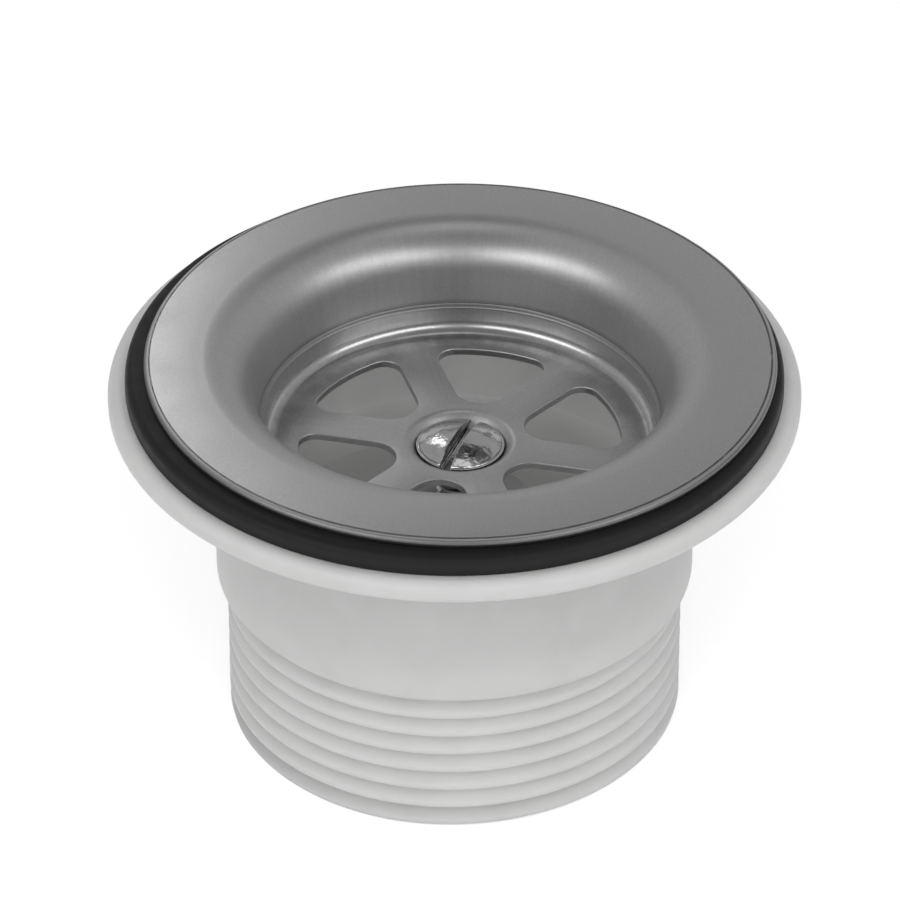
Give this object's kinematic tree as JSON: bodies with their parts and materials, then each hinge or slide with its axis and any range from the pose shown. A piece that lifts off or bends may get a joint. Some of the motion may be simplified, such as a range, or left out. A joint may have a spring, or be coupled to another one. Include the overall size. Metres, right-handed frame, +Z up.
{
  "type": "sink drain",
  "caption": "Sink drain with a pressed steel strainer cup, a black rubber gasket and a white threaded plastic tail, clamped together by a slotted centre screw.",
  "frame": {"origin": "centre of the tail's lower end, on the tail's axis", "axes": "+Z up along the tail's axis, from the tail's end to the steel flange; +X along one rib of the spider"},
  "size_m": [0.0716, 0.0716, 0.0435],
  "materials": {
    "white_polypropylene": "moulded, faintly glossy",
    "black_rubber": "moulded, dull",
    "satin_stainless": "satin, as pressed and brushed",
    "polished_stainless": "polished",
    "plain_brass": "plain, as cut"
  },
  "bodies": {
    "tail": {"tail_body": "white_polypropylene", "gasket": "black_rubber", "square_nut": "plain_brass"},
    "cup": {"strainer_cup": "satin_stainless"},
    "screw": {"centre_screw": "polished_stainless"}
  },
  "joints": [
    {"name": "cup_lift", "type": "slide", "parent": "tail", "child": "cup", "axis": [0, 0, 1], "range_m": [0, 0.01]},
    {"name": "screw_turn", "type": "hinge", "parent": "cup", "child": "screw", "pos_m": [0.0006, 0, 0.0317], "axis": [0, 0, 1], "range_deg": [0, 4500]}
  ],
  "couplings": [
    {"joint": "screw_turn", "follows": "cup_lift", "rad_per_m": 7854}
  ]
}
